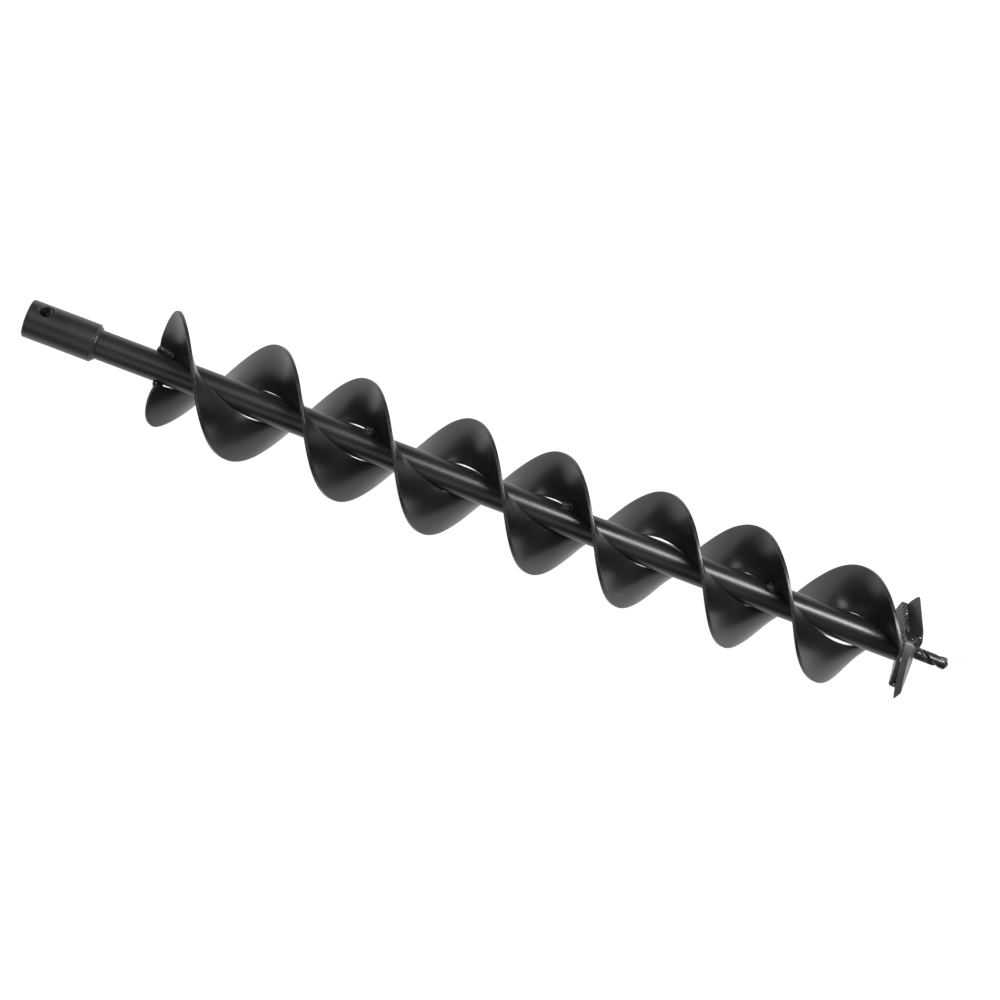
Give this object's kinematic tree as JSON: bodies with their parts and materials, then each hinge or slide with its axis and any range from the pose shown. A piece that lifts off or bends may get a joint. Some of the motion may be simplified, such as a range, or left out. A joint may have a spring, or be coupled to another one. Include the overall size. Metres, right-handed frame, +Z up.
{
  "type": "soil auger",
  "caption": "Earth auger bit with two helical flights welded to a tube, a pinned drive socket, cutting blades and a fluted pilot point.",
  "frame": {"origin": "centre of the drive socket's mouth, on the shaft's axis", "axes": "+X along the shaft towards the pilot point, +Z up with the auger lying on a surface, +Y to the left as seen from the socket"},
  "size_m": [0.7905, 0.1014, 0.1014],
  "materials": {
    "black_shaft": "satin black powder coat on steel tube",
    "black_socket": "satin black powder coat on turned steel",
    "black_flight": "semi-gloss black powder coat on sheet steel",
    "black_weld": "glossy black powder coat over weld metal",
    "blade_steel": "black powder coat on hardened steel plate, thin at the cutting edge",
    "pilot_steel": "black oxide with bright flute lands",
    "carbide": "ground hard metal",
    "braze": "tarnished braze"
  },
  "bodies": {
    "root": {"drive_socket": "black_socket", "socket_weld": "black_weld", "shaft_tube": "black_shaft", "tip_bush": "black_shaft", "tip_bush_weld": "black_weld", "flight_a": "black_flight", "flight_b": "black_flight", "flight_a_start_weld": "black_weld", "flight_b_start_weld": "black_weld", "flight_a_tack_welds": "black_weld", "flight_b_tack_welds": "black_weld", "blade_a": "blade_steel", "blade_b": "blade_steel", "blade_a_seam_weld": "black_weld", "blade_b_seam_weld": "black_weld", "blade_a_root_weld": "black_weld", "blade_b_root_weld": "black_weld", "pilot_drill": "pilot_steel", "pilot_insert": "carbide", "insert_braze": "braze"}
  },
  "joints": []
}
